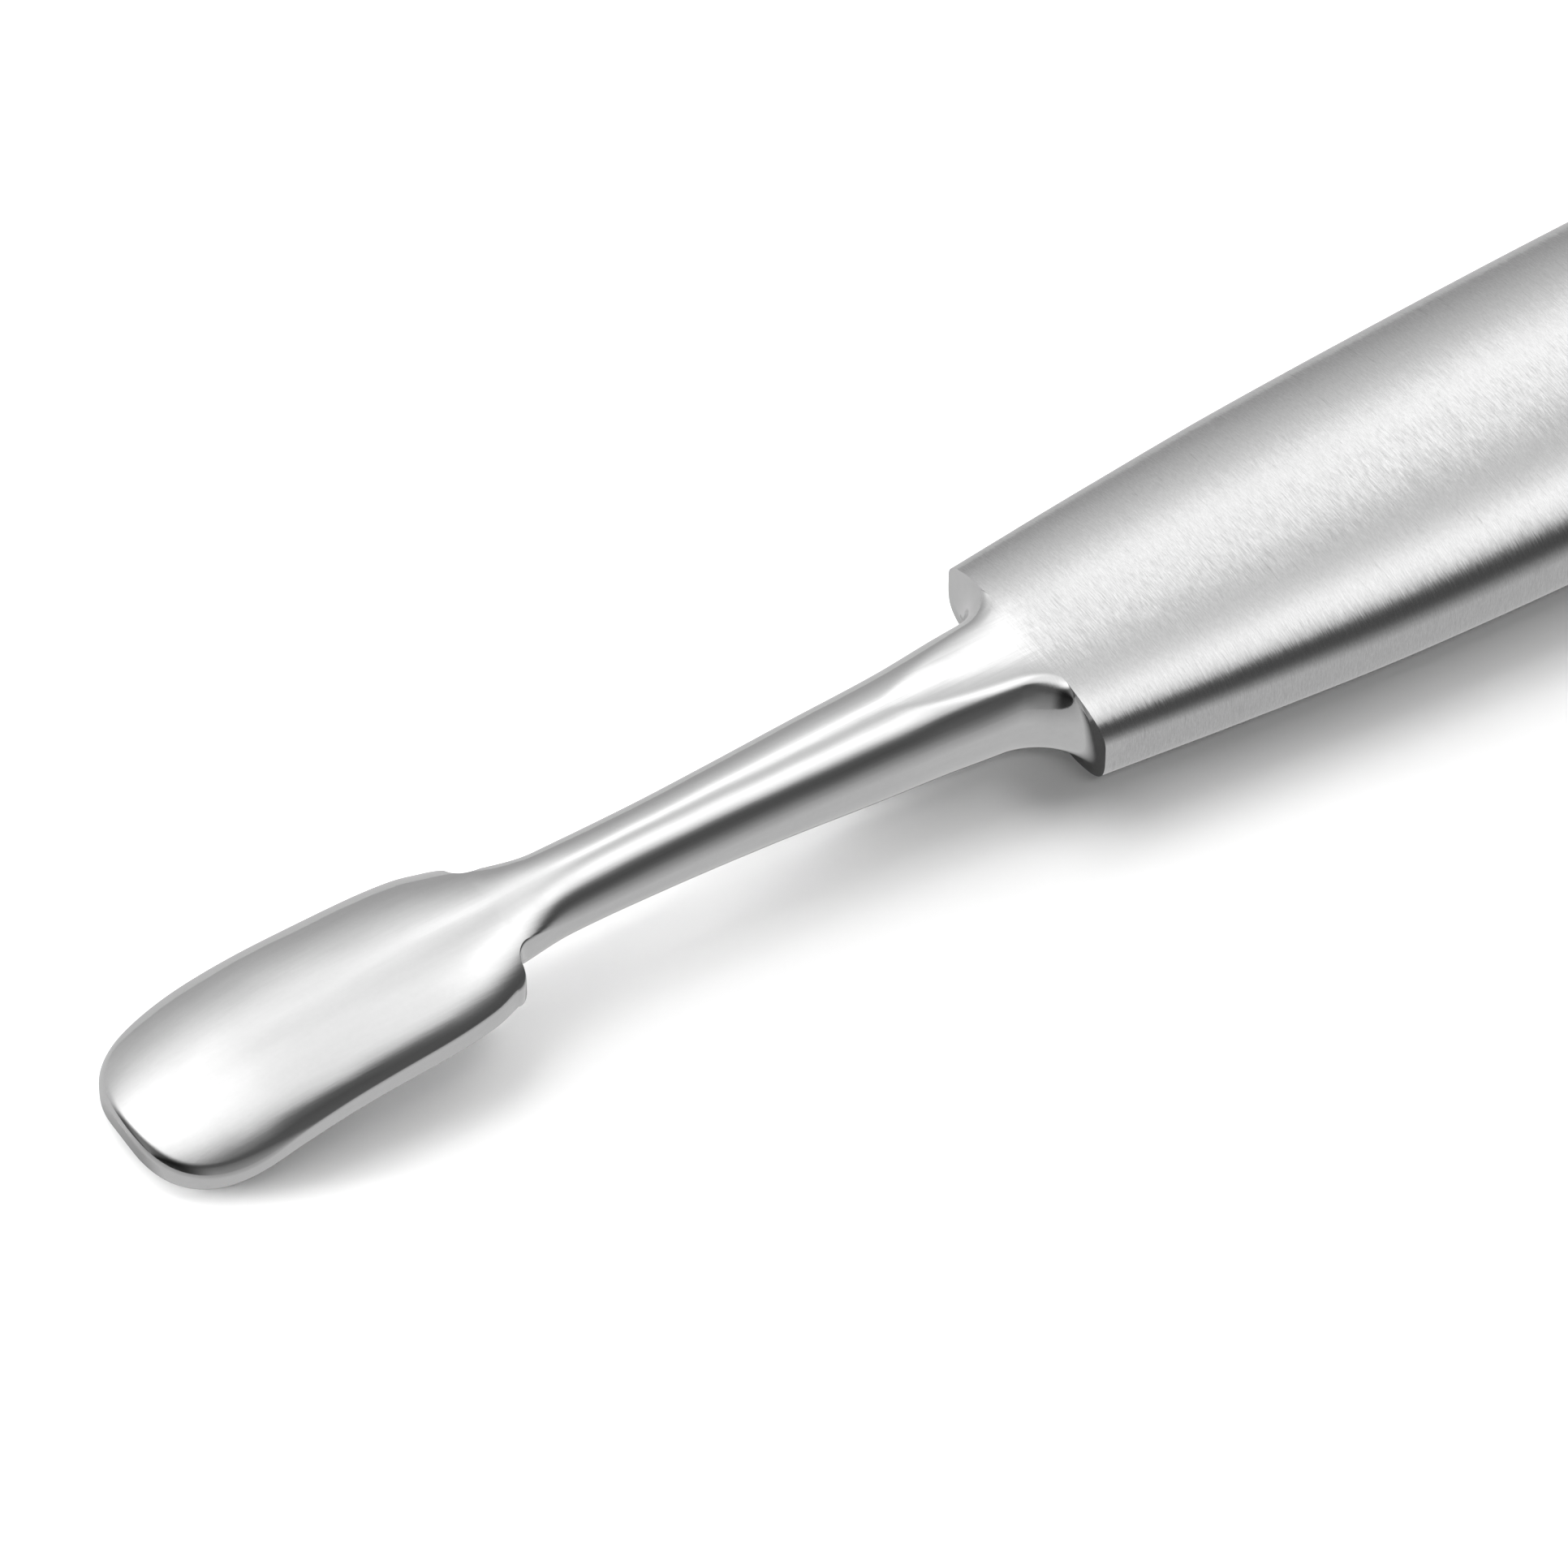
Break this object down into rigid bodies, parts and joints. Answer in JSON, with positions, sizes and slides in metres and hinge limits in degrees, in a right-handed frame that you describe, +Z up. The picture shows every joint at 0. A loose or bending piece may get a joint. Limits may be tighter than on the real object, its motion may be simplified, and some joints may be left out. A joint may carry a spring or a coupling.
{
  "type": "cuticle pusher",
  "caption": "Steel cuticle pusher: thin convex spoon blade on a slim tapering neck, square shoulder, and a flattened oval handle that widens behind the shoulder and ends in a rounded butt",
  "frame": {"origin": "centre of the bounding box in X and Y, on the flat of the handle at its underside (Z = 0)", "axes": "+X runs along the tool from the blade towards the butt, +Y across it, +Z up out of the crowned side, the way the tool lies on a table"},
  "size_m": [0.12, 0.0112, 0.0036],
  "materials": {
    "polished_steel": "mirror-polished stainless steel",
    "brushed_steel": "cross-brushed stainless steel",
    "core_aluminium": "machined aluminium",
    "pin_steel": "ground steel dowel"
  },
  "bodies": {
    "root": {"working_end": "polished_steel", "handle_upper_shell": "brushed_steel", "handle_lower_shell": "brushed_steel", "handle_core": "core_aluminium", "tang_pin_front": "pin_steel", "tang_pin_rear": "pin_steel"}
  },
  "joints": []
}
